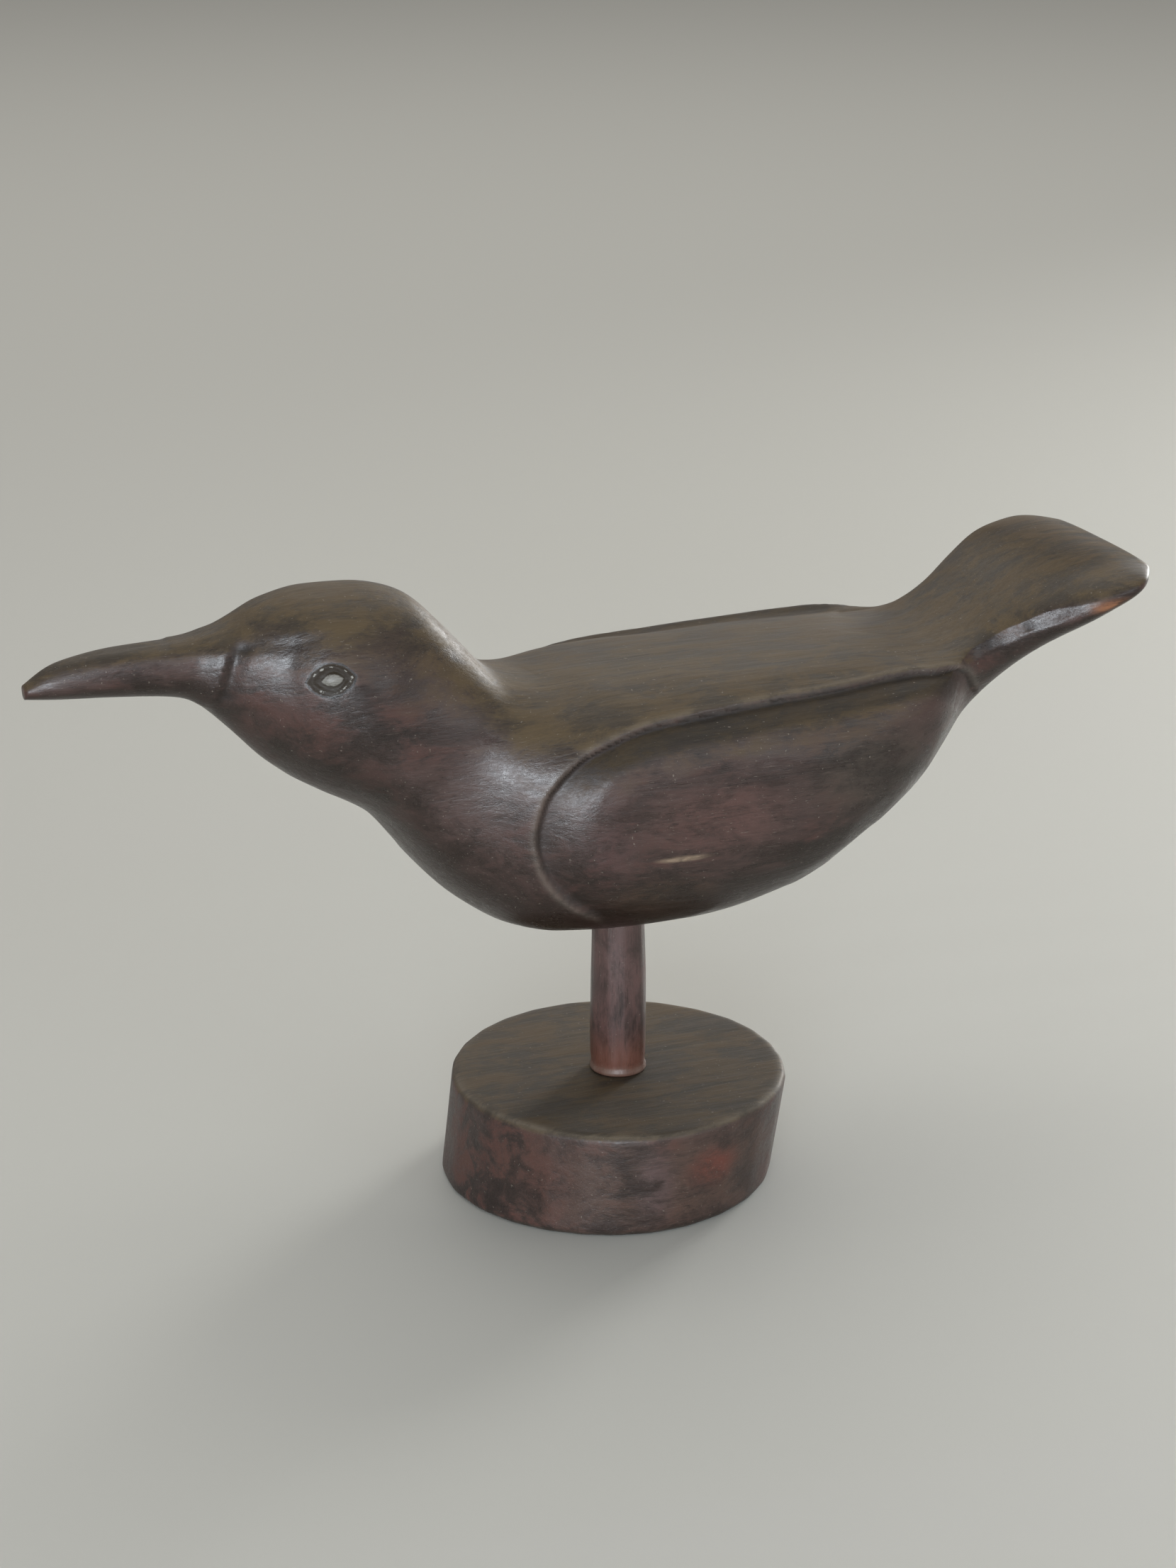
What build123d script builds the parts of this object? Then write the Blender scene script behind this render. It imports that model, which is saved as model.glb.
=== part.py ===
from build123d import *
import os
from math import cos, sin, pi

os.makedirs("parts", exist_ok=True)

# A carved wooden bird standing on a round peg in a hand-cut disc.
# Millimetres. +Z is up, the floor is z = 0, the peg stands on the Z axis,
# the beak points to -X, the tail to +X, the bird's left side faces -Y.

# ---- driving dimensions ------------------------------------------------

base_top_r = 38.6         # a disc sawn for three inches across
base_foot_r = 38.2        # the sawn side is not quite square to the floor:
base_foot_at = (-2.4, 1.8)  # its foot is pushed towards the beak
base_top_at = (0.5, 0.7)    # and the peg stands a hair off its middle
base_h = 24.5             # one-inch board, planed
base_edge = 1.2           # softened rim

foot_tenon_r = 5.5        # peg end that stands in the base
foot_tenon_len = 15.5
peg_foot_r = 6.5          # shaft at the base, about a half-inch dowel
peg_waist_r = 6.0         # shaft where it enters the belly
head_tenon_r = 5.0        # peg end that carries the bird
head_tenon_len = 18.0
seat_z = 66.0             # shoulder of the peg, just inside the belly
run_gap = 0.05            # radial clearance of the turning and lifting fits
end_gap = 0.5             # air left beyond each tenon
end_chamfer = 0.6

# ---- shape of the carved block -----------------------------------------
# One line per saw-cut through the block: distance along the bird, height of
# the top, of the widest level and of the underside, half width, and how full
# the outline is above and below the widest level (2 is an oval, more is
# squarer: the back between the wings is nearly flat).

cuts = [
    (-131.5, 131.5, 130.4, 128.6, 1.9, 2.0, 2.0),
    (-126.0, 135.2, 131.0, 128.0, 3.3, 2.0, 2.0),
    (-112.0, 137.4, 131.5, 127.0, 4.8, 2.0, 2.0),
    (-98.0, 137.6, 131.8, 125.2, 6.0, 2.4, 2.0),
    (-89.0, 140.4, 130.0, 117.6, 8.2, 2.0, 2.0),
    (-80.0, 144.8, 128.0, 108.2, 13.5, 2.0, 2.0),
    (-70.0, 146.0, 126.0, 101.6, 18.5, 2.1, 2.1),
    (-60.0, 145.7, 119.5, 96.0, 20.6, 2.1, 2.1),
    (-50.0, 143.0, 107.5, 83.5, 21.4, 2.1, 2.2),
    (-41.0, 134.6, 100.0, 74.0, 23.4, 2.1, 2.2),
    (-30.0, 123.6, 96.0, 66.8, 27.8, 2.4, 2.3),
    (-12.0, 122.4, 94.5, 63.7, 32.0, 2.9, 2.4),
    (10.0, 122.6, 93.5, 63.7, 34.4, 3.1, 2.4),
    (32.0, 122.6, 96.5, 68.0, 34.4, 3.1, 2.4),
    (52.0, 122.4, 104.0, 79.0, 32.0, 3.1, 2.4),
    (64.0, 121.8, 112.2, 86.0, 28.2, 2.9, 2.3),
    (72.0, 122.4, 117.2, 92.6, 22.8, 2.6, 2.2),
    (78.0, 124.8, 119.8, 100.0, 20.4, 2.6, 2.2),
    (84.0, 128.2, 122.6, 106.6, 21.2, 2.6, 2.2),
    (92.0, 132.8, 126.4, 114.6, 25.0, 2.6, 2.2),
    (104.0, 137.4, 131.0, 124.4, 30.4, 2.6, 2.4),
    (112.0, 138.2, 134.0, 129.6, 30.6, 2.6, 2.4),
    (116.5, 137.9, 135.6, 132.8, 27.0, 2.6, 2.6),
    (119.0, 137.5, 136.0, 134.4, 22.0, 2.6, 2.6),
]


def outline_point(cut, turn):
    x, top, mid, under, half_w, full_above, full_below = cut
    c = cos(turn)
    s = sin(turn)
    full = full_above if s > 0 else full_below
    reach = (abs(c) ** full + abs(s) ** full) ** (-1 / full)
    rise = (top - mid) if s > 0 else (mid - under)
    return (half_w * c * reach, mid + rise * s * reach)


def outline(cut, count=16):
    return [outline_point(cut, 2 * pi * i / count) for i in range(count)]


def slope(a, b, c, k):
    before = (b[k] - a[k]) / (b[0] - a[0])
    after = (c[k] - b[k]) / (c[0] - b[0])
    if before * after <= 0:
        return 0
    return 2 * before * after / (before + after)


def between(i, part):
    # the outline part-way from one saw-cut to the next, eased so that the
    # carved surface neither dips nor swells between them
    a = cuts[i]
    b = cuts[i + 1]
    span = b[0] - a[0]
    eased = [a[0] + part * span]
    for k in range(1, 7):
        leave = slope(cuts[i - 1], a, b, k) if i > 0 else (b[k] - a[k]) / span
        last = i + 2 >= len(cuts)
        arrive = (b[k] - a[k]) / span if last else slope(a, b, cuts[i + 2], k)
        eased.append(
            (2 * part**3 - 3 * part**2 + 1) * a[k]
            + (part**3 - 2 * part**2 + part) * span * leave
            + (3 * part**2 - 2 * part**3) * b[k]
            + (part**3 - part**2) * span * arrive
        )
    return tuple(eased)


block = []
for i in range(len(cuts) - 1):
    block.append(cuts[i])
    if cuts[i + 1][0] - cuts[i][0] > 8:
        block.append(between(i, 0.5))
block.append(cuts[-1])

# wing: the middle of the hollow cut below the edge of the back, given as
# (distance along, half width, height); it starts low on the breast, curls
# up round the shoulder and runs straight back to the wing tip
wing_hollow = [
    (-14.0, 26.6, 71.5),
    (-23.5, 28.9, 79.5),
    (-28.5, 30.0, 90.0),
    (-26.0, 30.6, 101.5),
    (-16.0, 31.4, 110.0),
    (2.0, 32.3, 114.0),
    (26.0, 32.4, 115.6),
    (50.0, 30.2, 116.6),
    (62.0, 28.4, 117.4),
    (71.0, 24.6, 118.2),
]
hollow_r = 3.2

# eye: a pointed oval cut as two rings into the side of the head
eye_at = (-70.6, 17.4, 130.4)
eye_out = (-0.34, 0.90, 0.22)
eye_len = 5.7
eye_tall = 3.9
eye_groove = 0.9
eye_depth = 1.1

# crease where the beak leaves the face
crease_r = 0.9
crease_x = -89.0


# ---- base --------------------------------------------------------------

with BuildPart() as base:
    with BuildSketch(Plane.XY):
        with Locations(base_foot_at):
            Circle(base_foot_r)
    with BuildSketch(Plane.XY.offset(base_h)):
        with Locations(base_top_at):
            Circle(base_top_r)
    loft()
    fillet(base.edges().filter_by(GeomType.CIRCLE), radius=base_edge)
    with BuildSketch(Plane.XY.offset(base_h)):
        Circle(foot_tenon_r + run_gap)
    extrude(amount=-(foot_tenon_len + end_gap), mode=Mode.SUBTRACT)

# ---- peg ---------------------------------------------------------------

with BuildPart() as peg:
    with BuildSketch(Plane.XZ):
        with BuildLine():
            Polyline(
                (0, base_h - foot_tenon_len),
                (foot_tenon_r - end_chamfer, base_h - foot_tenon_len),
                (foot_tenon_r, base_h - foot_tenon_len + end_chamfer),
                (foot_tenon_r, base_h),
                (peg_foot_r - 0.5, base_h),
                (peg_foot_r, base_h + 0.8),
                (peg_waist_r, seat_z),
                (head_tenon_r, seat_z),
                (head_tenon_r, seat_z + head_tenon_len - end_chamfer),
                (head_tenon_r - end_chamfer, seat_z + head_tenon_len),
                (0, seat_z + head_tenon_len),
                close=True,
            )
        make_face()
    revolve(axis=Axis.Z)

# ---- bird --------------------------------------------------------------

with BuildPart() as bird:
    for cut in block:
        with BuildSketch(Plane(origin=(cut[0], 0, 0), x_dir=(0, 1, 0), z_dir=(1, 0, 0))):
            with BuildLine():
                Spline(*outline(cut), periodic=True)
            make_face()
    loft()

    # the hollow under the edge of the back, on both sides
    for side in (-1, 1):
        with BuildLine() as hollow_line:
            Spline(*[(x, side * y, z) for x, y, z in wing_hollow])
        with BuildSketch(Plane(origin=hollow_line.line @ 0, z_dir=hollow_line.line % 0)):
            Circle(hollow_r)
        sweep(path=hollow_line.line, mode=Mode.SUBTRACT)

    # an eye on each side: an outer and an inner ring round a raised oval
    for side in (-1, 1):
        eye_plane = Plane(
            origin=(eye_at[0], side * eye_at[1], eye_at[2]),
            x_dir=(0.90, side * 0.34, 0.20),
            z_dir=(eye_out[0], side * eye_out[1], eye_out[2]),
        )
        with BuildSketch(eye_plane.offset(-eye_depth)):
            Ellipse(eye_len, eye_tall)
            Ellipse(eye_len - eye_groove, eye_tall - eye_groove, mode=Mode.SUBTRACT)
            Ellipse(eye_len - 2.2, eye_tall - 1.9)
            Ellipse(eye_len - 2.8, eye_tall - 2.4, mode=Mode.SUBTRACT)
        extrude(amount=6, mode=Mode.SUBTRACT)

    # the crease behind the beak, cut across each cheek
    for side in (-1, 1):
        crease_cut = (crease_x, 140.4, 130.0, 117.6, 8.2, 2.0, 2.0)
        with BuildLine() as crease_line:
            Spline(
                *[
                    (crease_x - 0.6 * lift, side * half, z)
                    for lift, (half, z) in (
                        (i, outline_point(crease_cut, 0.35 * i)) for i in range(-1, 4)
                    )
                ]
            )
        with BuildSketch(Plane(origin=crease_line.line @ 0, z_dir=crease_line.line % 0)):
            Circle(crease_r)
        sweep(path=crease_line.line, mode=Mode.SUBTRACT)

    # socket in the belly, with a shallow seat for the shoulder of the peg
    with BuildSketch(Plane.XY.offset(60)):
        Circle(peg_waist_r + 0.15)
    extrude(amount=seat_z - 60, mode=Mode.SUBTRACT)
    with BuildSketch(Plane.XY.offset(seat_z)):
        Circle(head_tenon_r + run_gap)
    extrude(amount=head_tenon_len + end_gap, mode=Mode.SUBTRACT)

bird.part.label = "bird"
peg.part.label = "peg"
base.part.label = "base"

export_step(bird.part, "parts/bird.step")
export_step(peg.part, "parts/peg.step")
export_step(base.part, "parts/base.step")
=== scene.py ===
# %% [markdown]
# # A carved wooden bird on a peg
# Three pieces of dark waxed wood: a bird carved from one block, a round peg
# and a hand-cut disc. The packed model gives their places and sizes; here each
# one gets a finely carved surface and its finish.

import bpy
import math
import numpy as np
from types import SimpleNamespace
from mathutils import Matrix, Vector


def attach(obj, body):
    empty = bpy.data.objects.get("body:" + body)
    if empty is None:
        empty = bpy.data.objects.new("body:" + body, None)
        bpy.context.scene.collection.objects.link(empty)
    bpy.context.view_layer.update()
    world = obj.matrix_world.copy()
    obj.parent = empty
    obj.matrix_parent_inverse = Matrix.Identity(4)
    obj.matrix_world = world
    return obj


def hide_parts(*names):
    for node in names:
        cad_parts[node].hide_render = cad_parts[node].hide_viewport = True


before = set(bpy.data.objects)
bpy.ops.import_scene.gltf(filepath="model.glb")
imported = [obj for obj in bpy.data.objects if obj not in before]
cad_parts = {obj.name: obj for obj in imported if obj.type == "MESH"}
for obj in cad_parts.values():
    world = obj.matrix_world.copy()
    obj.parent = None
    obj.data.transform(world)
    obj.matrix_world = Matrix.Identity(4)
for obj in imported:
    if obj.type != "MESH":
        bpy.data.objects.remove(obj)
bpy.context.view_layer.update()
MM = 0.001

# %% [markdown]
# ## The camera
# A portrait lens held a little above the bird, off its left side towards the
# head. Azimuth 0 would look straight at the bird's left side. The camera is
# placed by the point it is aimed at, a distance and two angles, which is how a
# tripod is set, and needs no constraint.

# %% Camera
AZIMUTH = math.radians(-21.5)
PITCH = math.radians(19.7)
AIM = Vector((1.7, 23.0, 85.1)) * MM
REACH = 0.7747


def look_back(azimuth, pitch):
    level = math.cos(pitch)
    return Vector((math.sin(azimuth) * level, -math.cos(azimuth) * level, math.sin(pitch)))


def aim_at(obj, target):
    obj.rotation_euler = (Vector(target) - obj.location).to_track_quat("-Z", "Y").to_euler()


lens = bpy.data.cameras.new("portrait_lens")
lens.sensor_fit = "VERTICAL"
lens.sensor_height = 36.0
lens.lens = 77.8
lens.clip_start = 0.01
camera = bpy.data.objects.new("camera", lens)
camera.location = AIM + look_back(AZIMUTH, PITCH) * REACH
aim_at(camera, AIM)
bpy.context.scene.collection.objects.link(camera)
bpy.context.scene.camera = camera
print("camera stands", round(camera.location.length, 3), "m from the foot of the peg")

# %% [markdown]
# ## The blank
# A carver saws a block to shape before rounding it. The same idea gives the
# bird's body here: a row of saw-cuts, each with the height of its top, its
# widest level and its underside, its half width and how full the outline is.
# A loft or a subdivision cage could do it too, but a grid of rings made from
# the cuts puts points exactly where the eye and the wing will need them.

# %% Saw-cuts, in millimetres
# distance along, top, widest level, underside, half width, fullness above, below
SAW_CUTS = np.array([
    (-131.5, 131.5, 130.4, 128.6, 1.9, 2.0, 2.0),
    (-126.0, 135.2, 131.0, 128.0, 3.3, 2.1, 2.0),
    (-112.0, 137.4, 132.2, 127.0, 4.8, 2.6, 2.0),
    (-98.0, 137.6, 132.4, 125.2, 6.0, 3.0, 2.0),
    (-89.0, 140.4, 130.6, 117.6, 8.4, 2.4, 2.0),
    (-80.0, 144.8, 128.0, 108.2, 13.5, 2.0, 2.0),
    (-70.0, 146.0, 126.0, 101.6, 18.3, 2.1, 2.1),
    (-60.0, 145.7, 119.0, 96.0, 20.3, 2.1, 2.1),
    (-50.0, 143.0, 106.0, 83.5, 20.6, 2.1, 2.2),
    (-41.0, 134.6, 98.5, 74.0, 22.6, 2.1, 2.2),
    (-30.0, 123.6, 95.0, 66.8, 27.8, 2.4, 2.3),
    (-20.0, 121.9, 94.0, 64.3, 31.4, 2.7, 2.4),
    (-10.0, 122.4, 93.8, 63.7, 33.0, 3.0, 2.4),
    (10.0, 122.6, 93.5, 63.7, 34.1, 3.1, 2.4),
    (32.0, 122.6, 96.5, 68.0, 34.1, 3.1, 2.4),
    (52.0, 122.4, 104.0, 79.0, 31.8, 3.1, 2.4),
    (64.0, 121.6, 112.4, 86.0, 28.2, 3.2, 2.3),
    (72.0, 122.2, 117.4, 92.6, 22.6, 2.6, 2.1),
    (78.0, 124.8, 120.0, 100.0, 20.0, 2.6, 2.0),
    (84.0, 128.2, 122.6, 106.6, 21.0, 2.6, 2.0),
    (92.0, 133.0, 126.4, 114.6, 24.9, 2.7, 2.0),
    (104.0, 137.6, 131.0, 124.4, 30.4, 2.8, 2.2),
    (112.0, 138.2, 134.0, 129.6, 30.6, 2.8, 2.4),
    (116.5, 137.8, 135.6, 132.8, 27.0, 2.6, 2.6),
    (119.0, 137.4, 136.0, 134.4, 22.0, 2.6, 2.6),
])


def eased(cuts, xs):
    # a curve through the cuts that never overshoots between two of them
    x, v = cuts[:, 0], cuts[:, 1:]
    step = np.diff(x)[:, None]
    lean = np.diff(v, axis=0) / step
    both = lean[:-1] * lean[1:]
    mid = np.where(both > 0, 2 * both / np.where(both > 0, lean[:-1] + lean[1:], 1), 0)
    slope = np.vstack([lean[:1], mid, lean[-1:]])
    i = np.clip(np.searchsorted(x, xs, "right") - 1, 0, len(x) - 2)
    t = ((xs - x[i]) / np.diff(x)[i])[:, None]
    return (
        (2 * t**3 - 3 * t**2 + 1) * v[i]
        + (t**3 - 2 * t**2 + t) * step[i] * slope[i]
        + (3 * t**2 - 2 * t**3) * v[i + 1]
        + (t**3 - t**2) * step[i] * slope[i + 1]
    )


def spaced(low, high, count, crowd):
    # positions that crowd together where crowd(position) is larger
    fine = np.linspace(low, high, 4000)
    weight = np.concatenate([[0], np.cumsum(crowd(fine)[:-1])])
    return np.interp(np.linspace(0, weight[-1], count), weight, fine)


print("saw-cuts", len(SAW_CUTS), "from", SAW_CUTS[0, 0], "to", SAW_CUTS[-1, 0])

# %% [markdown]
# ## From saw-cuts to rings
# The blank becomes a grid: a ring of points at each of some four hundred places
# along the bird, every ring with the same number of points. The rings crowd
# together at the eye and the shoulder and the points crowd on the upper flanks,
# where the finest cuts come. Subdividing the whole body evenly until the eye is
# sharp would need several times as many points.

# %% Rings of points along the bird
RINGS, TURNS = 408, 228
EYE_X, SHOULDER_X = -71.2, -24.0


def ring_crowd(x):
    return 1 + 2.0 * np.exp(-(((x - EYE_X) / 6.5) ** 4)) + 0.8 * np.exp(-(((x - SHOULDER_X) / 10) ** 4))


ring_x = spaced(SAW_CUTS[0, 0], SAW_CUTS[-1, 0], RINGS, ring_crowd)


def turn_crowd(a):
    return 1 + 1.2 * np.exp(-(((a - 0.6) / 0.45) ** 4))


turn = spaced(-math.pi / 2, math.pi / 2, TURNS // 2 + 1, turn_crowd)
turn = np.concatenate([turn[:-1], math.pi - turn[:0:-1]])

profile = eased(SAW_CUTS, ring_x)
soften = np.exp(-0.5 * (np.arange(-8, 9) / 3.0) ** 2)
soften /= soften.sum()
for k in range(profile.shape[1]):
    row = profile[:, k]
    padded = np.concatenate([2 * row[0] - row[8:0:-1], row, 2 * row[-1] - row[-2:-10:-1]])
    profile[:, k] = np.convolve(padded, soften, "valid")

top, mid, under, half, above, below = [profile[:, k][:, None] for k in range(6)]
c, s = np.cos(turn)[None], np.sin(turn)[None]
full = np.where(s > 0, above, below)
reach = (np.abs(c) ** full + np.abs(s) ** full) ** (-1 / full)
rise = np.where(s > 0, top - mid, mid - under)
body = np.stack([ring_x[:, None] + 0 * reach, half * c * reach, mid + rise * s * reach], axis=-1)
lowest, highest = body.reshape(-1, 3).min(0), body.reshape(-1, 3).max(0)
print("rings", body.shape, "reach", lowest.round(1), highest.round(1))

# %% Which way the surface faces


def facing(grid):
    along = np.gradient(grid, axis=0)
    around = (np.roll(grid, -1, axis=1) - np.roll(grid, 1, axis=1)) / 2
    n = np.cross(around, along)
    n /= np.linalg.norm(n, axis=-1, keepdims=True) + 1e-9
    # on a ring half way along, what lies above the middle has to face up
    half_way = len(grid) // 2
    height = grid[half_way, :, 2]
    return -n if (n[half_way, :, 2] * (height - height.mean())).sum() < 0 else n


out = facing(body)
print("directions", out.shape)

# %% [markdown]
# ## Carving
# Every cut is a small move of the points along the way the surface faces.
# That is what sculpting does, and writing it as a rule keeps the two sides of
# the bird alike and lets the wood be cut exactly where it should be.

# %% Chisel helpers


def ramp(low, high, v):
    t = np.clip((v - low) / (high - low), 0, 1)
    return t * t * (3 - 2 * t)


def ridge(v, centre, width):
    return np.exp(-(((v - centre) / width) ** 2))


def curve_through(points, count):
    # a smooth line through given points
    p = np.array(points, float)
    dist = np.concatenate([[0], np.cumsum(np.linalg.norm(np.diff(p, axis=0), axis=1))])
    table = np.column_stack([dist, p])
    return eased(table, np.linspace(0, dist[-1], count))


rng = np.random.default_rng(7)
WOBBLE = [(rng.normal(size=3), rng.uniform(0, 6.28)) for _ in range(14)]


def wobble(p, size):
    # slow hand-made unevenness, about one unit high, with waves of that size
    total = 0
    for direction, phase in WOBBLE:
        total = total + np.sin(p @ (direction * 2.2 / size) + phase)
    return total / 3.7


print("waves in the unevenness", len(WOBBLE))

# %% [markdown]
# ## The wings
# Each wing is cut in low relief. A knife line starts low on the breast, curls
# up round the shoulder and runs straight back to the tip. The wood behind it is
# hollowed, so the edge of the back stands over the wing like the lip of a bowl,
# and the wing then swells out again below the hollow.

# %% The knife line of the wing
WING_LINE = [
    (-7.0, 67.4), (-11.0, 69.6), (-15.5, 73.0), (-20.5, 76.2), (-25.0, 80.4), (-28.4, 86.0),
    (-30.0, 93.0),
    (-28.4, 101.0), (-24.5, 106.6), (-17.2, 111.7), (-3.3, 115.8), (16.5, 117.4), (38.9, 118.5),
    (60.6, 119.5), (69.0, 119.0), (74.6, 116.4), (77.6, 112.4),
]


def on_flank(x, z):
    # the half width of the uncarved body at that place
    t, m, u, h, above, below = eased(SAW_CUTS, np.atleast_1d(x)).T
    lift = np.clip(np.where(z > m, (z - m) / (t - m), (m - z) / (m - u)), 0, 0.999)
    f = np.where(z > m, above, below)
    return h * (1 - lift**f) ** (1 / f)


wing = curve_through(WING_LINE, 300)
wing = np.column_stack([wing[:, 0], on_flank(wing[:, 0], wing[:, 1]), wing[:, 1]])
wing_run = np.concatenate([[0], np.cumsum(np.linalg.norm(np.diff(wing, axis=0), axis=1))])
wing_way = np.gradient(wing, axis=0)
wing_way /= np.linalg.norm(wing_way, axis=1, keepdims=True)
WING_LONG = wing_run[-1]
print("wing line is", round(WING_LONG, 1), "mm long")

# %% How far each point is from the knife line
flat_body = body.reshape(-1, 3)
flat_out = out.reshape(-1, 3)
one_side = np.where(flat_body[:, 1:2] < 0, -1.0, 1.0)
other_way = np.hstack([np.ones_like(one_side), one_side, np.ones_like(one_side)])
mirrored, mirrored_out = flat_body * other_way, flat_out * other_way
near = np.where((flat_body[:, 0] > -50) & (flat_body[:, 0] < 95))[0]
from_line = np.full(len(flat_body), 99.0)
along_line = np.zeros(len(flat_body))
for block in np.array_split(near, 12):
    gap = mirrored[block][:, None] - wing[None]
    best = (gap**2).sum(-1).argmin(1)
    off = gap[np.arange(len(block)), best]
    side = np.cross(mirrored_out[block], wing_way[best])
    inside = np.sign((off * side).sum(1))
    from_line[block] = inside * np.linalg.norm(off, axis=1)
    along_line[block] = wing_run[best]
print("distance to the knife line", from_line[near].min().round(1), from_line[near].max().round(1))

# %% Cut the wings
WING_DEEP, DEEPER_ABOVE, LIP_HIGH, FAR_LIP_HIGH = 1.15, 0.65, 0.10, 1.95
starts = ramp(2, 24, along_line)
ends = 1 - ramp(WING_LONG - 14, WING_LONG - 2, along_line)
on_top = ramp(46, 66, along_line)
far_side = (flat_body[:, 1] > 0) * 1.0
wall = ramp(-0.35, 0.65, from_line)
deep = (WING_DEEP + DEEPER_ABOVE * on_top) * starts * (0.5 + 0.5 * ends)
floor_to, rise_to = 1.6 - 1.4 * on_top, 12.5 - 5.3 * on_top
share = np.clip((from_line - floor_to) / (rise_to - floor_to), 0, 1)
cove = 0.5 * (1 - share) ** 1.6 + 0.5 * (1 - ramp(0, 1, share))
hollow = deep * wall * cove
late = ramp(50, 84, along_line) * (1 - ramp(WING_LONG - 26, WING_LONG - 6, along_line))
lip_high = LIP_HIGH * starts * ramp(14, 44, along_line) + FAR_LIP_HIGH * late * far_side
lip_wide = np.where(from_line > -1.2, 0.9, 3.4 - 1.7 * far_side)
lip = lip_high * ridge(from_line, -1.2, lip_wide)
carve = lip - hollow
band = ramp(0.0, 0.5, from_line) * ramp(8.2, 5.6, from_line) * on_top
crease_shade = 0.62 * ridge(from_line, 0.35, 0.60 - 0.12 * on_top) * starts + 0.72 * band * ends
crease_shade += 0.35 * ramp(0.2, 0.6, from_line) * ramp(3.4, 2.2, from_line) * starts * (1 - on_top)
crease_shade += 0.6 * ridge(from_line, -1.6, 1.6) * late * far_side
lip_wear = 0.8 * ridge(from_line, -0.8, 0.75) * starts * (1 - far_side)
print("deepest wing cut", carve.min().round(2), "mm, highest lip", carve.max().round(2), "mm")

# %% [markdown]
# ## The eyes
# An eye is an almond cut with a fine gouge: an outer line, a sunk ring and a
# rounded bead left standing in the middle. The hollow and the bead are cut in
# the mesh, where the rings of points were crowded for them. The outer line is
# about as fine as the points are apart, so it is only pressed in lightly here
# and the shade in it is painted by the finish.

# %% The shape of an almond
EYE = np.array((EYE_X, 17.6, 130.8))
EYE_LONG, EYE_TALL = 5.2, 3.5
eye_out = np.array((-0.32, 0.92, 0.20))
eye_out /= np.linalg.norm(eye_out)
eye_along = np.array((0.93, 0.32, 0.12))
eye_along -= eye_out * (eye_along @ eye_out)
eye_along /= np.linalg.norm(eye_along)
eye_up = np.cross(eye_along, -eye_out)
eye_up *= np.sign(eye_up[2])


def almond(a, b, point):
    # 0 in the middle and 1 on an outline that comes to a point at both ends
    low, high = np.zeros_like(a), np.full_like(a, 6.0)
    for _ in range(26):
        q = (low + high) / 2
        outside = (b / q) + (a / q) ** point > 1
        low, high = np.where(outside, q, low), np.where(outside, high, q)
    return q


print("an eye is", 2 * EYE_LONG, "mm long and", 2 * EYE_TALL, "mm tall")

# %% Cut the eyes
LINE_DEEP, SUNK_DEEP, BEAD_HIGH = 0.10, 0.36, 0.42
BEAD_LONG, BEAD_TALL = 2.4, 1.4
place = mirrored - EYE
eye_a, eye_b = place @ eye_along, place @ eye_up
close = (np.abs(eye_a) < 11) & (np.abs(eye_b) < 8) & (np.abs(place @ eye_out) < 8)
q, bead_q = np.full(len(eye_a), 9.0), np.full(len(eye_a), 9.0)
near_a, near_b = eye_a[close], eye_b[close]
point = np.where(near_a < 0, 1.7, 1.9)
q[close] = almond(np.abs(near_a) / EYE_LONG, np.sqrt((near_b / EYE_TALL) ** 2 + 0.006), point)
point = np.where(near_a < 0.4, 1.5, 2.6)
bead_q[close] = almond(np.abs(near_a - 0.4) / BEAD_LONG, np.sqrt((near_b / BEAD_TALL) ** 2 + 0.004), point)
bead = np.clip(1 - bead_q**2, 0, 1)
eye_cut = (
    -LINE_DEEP * ridge(q, 1.0, 0.09)
    - SUNK_DEEP * ramp(0.84, 0.62, q)
    + BEAD_HIGH * np.sqrt(bead)
)
carve = carve + eye_cut
print("points inside one eye", int((q < 1).sum() / 2))

# %% [markdown]
# ## Brow, beak and tail
# The crown is a soft cap whose edge runs from the top of the beak over the eye,
# and the cheek below it is pared a little flatter. A crease is cut where the
# beak leaves the face, and the edge of the tail is pared in three short flats.

# %% Cheek and beak
x, y, z = mirrored.T
brow = z - (137.4 + 0.10 * (x + 88) + 1.6 * ridge(x, -62, 14))
cheek = ridge(x, -79, 11) * ramp(1.0, -1.5, brow) * ramp(-14, -4, brow) * ramp(1.0, 2.6, q)
CHEEK_DEEP, BEAK_STEP, SEAM_DEEP, CHEEK_ROUND = 0.38, 0.75, 0.16, 0.45
carve = carve - CHEEK_DEEP * cheek
seam = x - (-90.6 + 0.30 * (z - 131))
seam_side = ramp(0.5, 3.5, y) * ramp(121.5, 126, z) * ramp(139.0, 135.5, z)
flare = ramp(-6.5, -1.4, seam) * ramp(0.3, -0.7, seam)
carve = carve + BEAK_STEP * flare * seam_side
carve = carve - SEAM_DEEP * ridge(seam, 0.5, 1.0) * seam_side
carve = carve + CHEEK_ROUND * ramp(0.8, 4.0, seam) * ramp(12.0, 5.0, seam) * seam_side
corner = ridge(x, -86.8, 1.5) * ridge(z, 136.6, 1.2) * ramp(2, 5, y)
under_corner = ridge(x, -89.6, 2.0) * ridge(z, 126.3, 1.2) * ramp(2, 4, y)
carve = carve - 0.30 * corner - 0.15 * under_corner
ledge = ramp(-101.5, -100.3, x) * ramp(-90, -94, x) * ramp(5.0, 3.0, y) * (z > 133)
carve = carve + 0.28 * ledge
blade = ridge(y, 0, 0.9) * ramp(-100, -104, x) * ramp(-131, -124, x) * (z > 131)
carve = carve + 0.22 * blade
seam_shade = 0.42 * ridge(seam, 0.5, 1.0) * seam_side + 0.9 * corner + 0.6 * under_corner
print("cheek pared", (CHEEK_DEEP * cheek.max()).round(2), "mm")

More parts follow.
